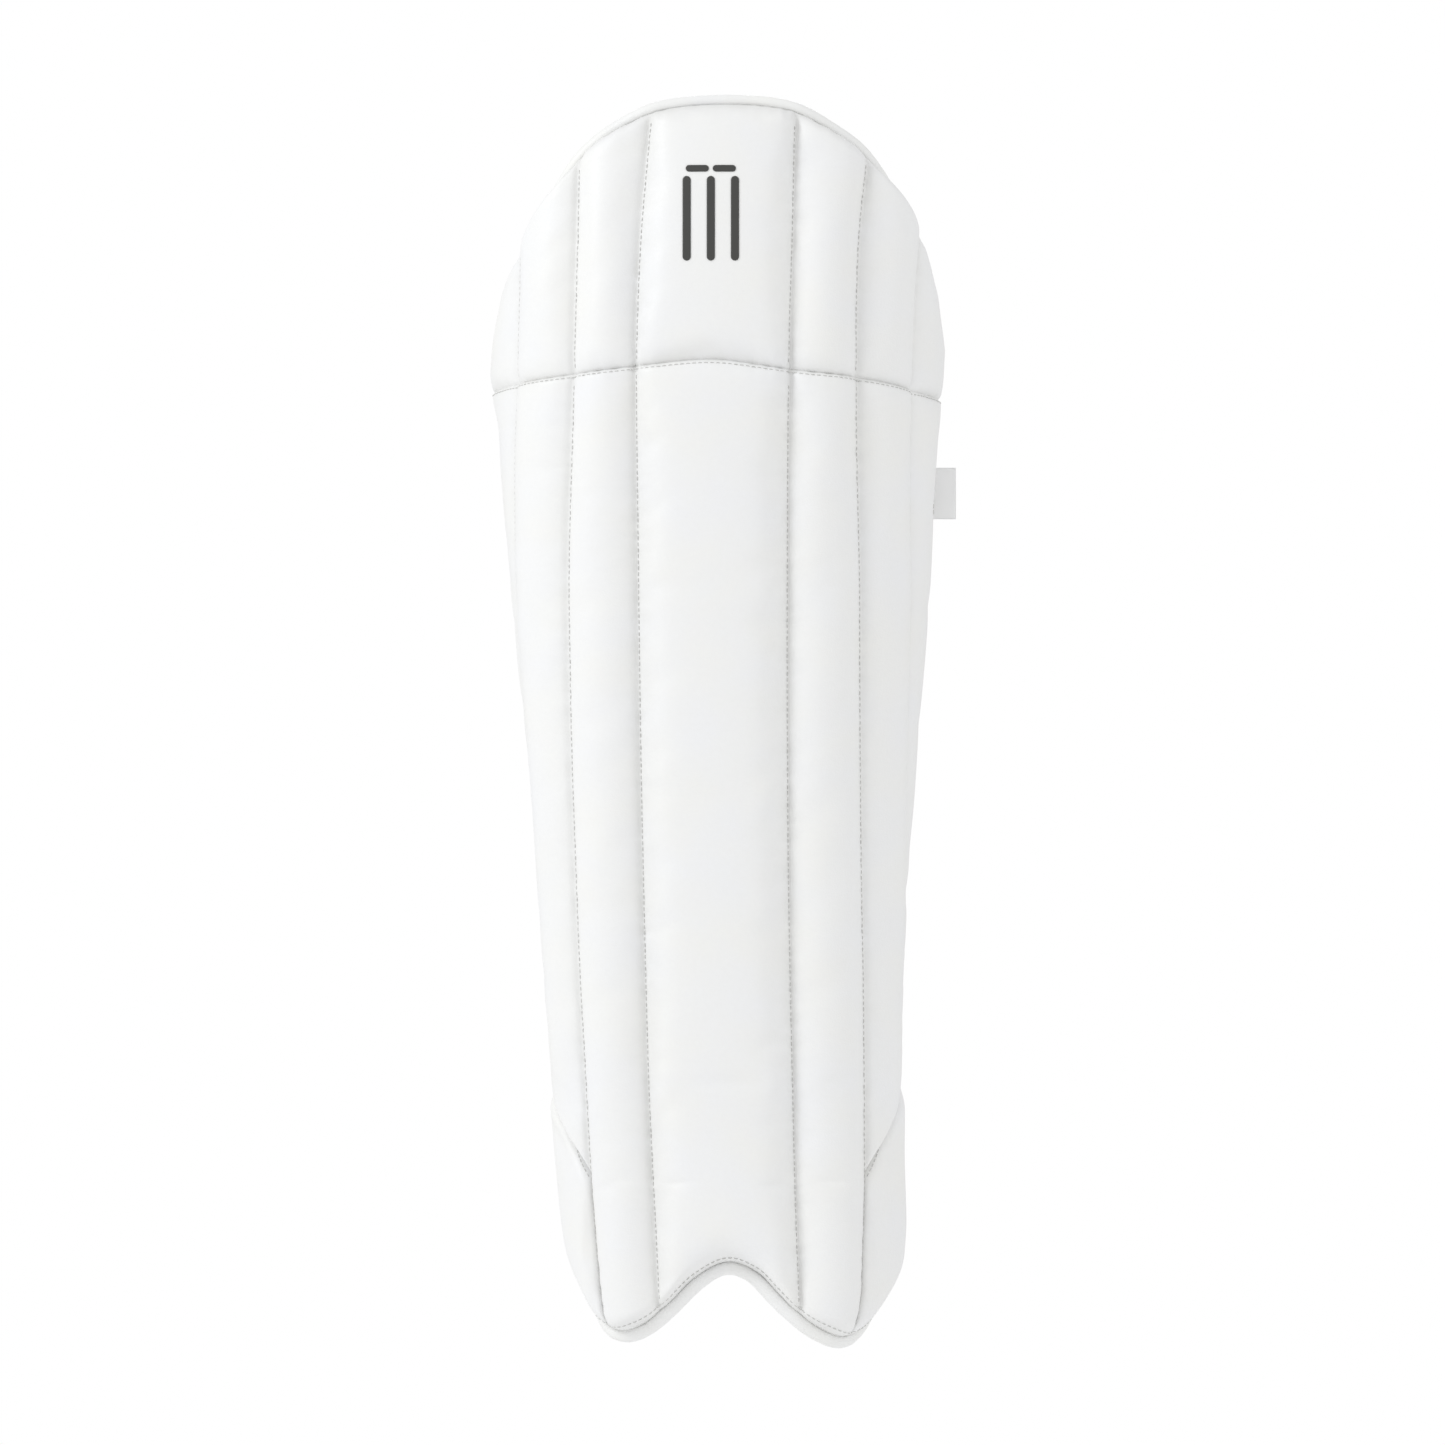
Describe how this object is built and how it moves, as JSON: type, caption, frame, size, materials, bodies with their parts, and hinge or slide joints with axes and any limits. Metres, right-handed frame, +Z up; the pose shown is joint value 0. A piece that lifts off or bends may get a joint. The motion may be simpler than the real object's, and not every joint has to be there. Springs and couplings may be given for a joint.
{
  "type": "wicket keeper leg pad",
  "caption": "Left-leg guard with a ribbed, padded shin section, a domed knee section that folds back at a seam, and wrap straps behind.",
  "frame": {"origin": "centre of the footprint, level with the lowest point of the instep lobes' edge", "axes": "+Z up the leg, -Y out of the pad's front, +X to the outer side of a left leg"},
  "size_m": [0.2442, 0.179, 0.6509],
  "materials": {
    "facing_leather": "semi-gloss white synthetic leather with a fine grain",
    "lining_cloth": "matt brushed lining cloth",
    "foam_sheet": "matt closed-cell foam sheet",
    "cane": "split rattan rods",
    "bolster_cloth": "brushed cloth over soft wadding",
    "webbing": "woven strap, matt",
    "hook_and_loop": "hook and loop pile, matt",
    "label_cloth": "plain woven label"
  },
  "bodies": {
    "shin_section": {"ankle_loop_patch": "hook_and_loop", "ankle_strap_anchor": "webbing", "ankle_strap_tab": "webbing", "calf_loop_patch": "hook_and_loop", "calf_strap_anchor": "webbing", "calf_strap_tab": "webbing", "centre_canes": "cane", "centre_foam": "foam_sheet", "hem_piping": "facing_leather", "inner_ankle_facing": "facing_leather", "inner_ankle_foam": "foam_sheet", "inner_mid_canes": "cane", "inner_mid_foam": "foam_sheet", "inner_shin_bolster": "bolster_cloth", "inner_side_canes": "cane", "inner_side_foam": "foam_sheet", "inner_wing_foam": "foam_sheet", "instep_guard": "facing_leather", "knee_loop_patch": "hook_and_loop", "knee_strap_anchor": "webbing", "knee_strap_tab": "webbing", "lower_knee_bolster": "bolster_cloth", "outer_ankle_facing": "facing_leather", "outer_ankle_foam": "foam_sheet", "outer_mid_canes": "cane", "outer_mid_foam": "foam_sheet", "outer_shin_bolster": "bolster_cloth", "outer_side_canes": "cane", "outer_side_foam": "foam_sheet", "outer_wing_foam": "foam_sheet", "shin_backing": "foam_sheet", "shin_facing": "facing_leather", "shin_lining": "lining_cloth"},
    "knee_section": {"knee_backing": "foam_sheet", "knee_centre_canes": "cane", "knee_centre_foam": "foam_sheet", "knee_cradle": "bolster_cloth", "knee_facing": "facing_leather", "knee_inner_mid_canes": "cane", "knee_inner_mid_foam": "foam_sheet", "knee_inner_side_foam": "foam_sheet", "knee_inner_wing_foam": "foam_sheet", "knee_lining": "lining_cloth", "knee_outer_mid_canes": "cane", "knee_outer_mid_foam": "foam_sheet", "knee_outer_side_foam": "foam_sheet", "knee_outer_wing_foam": "foam_sheet", "knee_piping": "facing_leather"},
    "ankle_wrap": {"ankle_hook_patch": "hook_and_loop", "ankle_strap": "webbing", "ankle_strap_tip": "facing_leather"},
    "calf_wrap": {"calf_hook_patch": "hook_and_loop", "calf_strap": "webbing", "calf_strap_pad": "bolster_cloth", "calf_strap_tip": "facing_leather"},
    "knee_wrap": {"knee_hook_patch": "hook_and_loop", "knee_strap": "webbing", "knee_strap_tip": "facing_leather"},
    "tag": {"side_tag": "label_cloth"}
  },
  "joints": [
    {"name": "knee_fold", "type": "hinge", "parent": "shin_section", "child": "knee_section", "pos_m": [-0.00177, -0.05194, 0.50993], "axis": [-1, 0, 0], "range_deg": [-4, 15]},
    {"name": "ankle_wrap_swing", "type": "hinge", "parent": "shin_section", "child": "ankle_wrap", "pos_m": [-0.05594, 0.02255, 0.14693], "axis": [0, 0, 1], "range_deg": [0, 60]},
    {"name": "calf_wrap_swing", "type": "hinge", "parent": "shin_section", "child": "calf_wrap", "pos_m": [-0.06856, 0.03077, 0.28093], "axis": [0, 0, 1], "range_deg": [0, 60]},
    {"name": "knee_wrap_swing", "type": "hinge", "parent": "shin_section", "child": "knee_wrap", "pos_m": [-0.09767, 0.03692, 0.44293], "axis": [0, 0, 1], "range_deg": [0, 60]},
    {"name": "tag_flip", "type": "hinge", "parent": "shin_section", "child": "tag", "pos_m": [0.10812, 0.02848, 0.44493], "axis": [0, 0, 1], "range_deg": [-35, 60]}
  ]
}
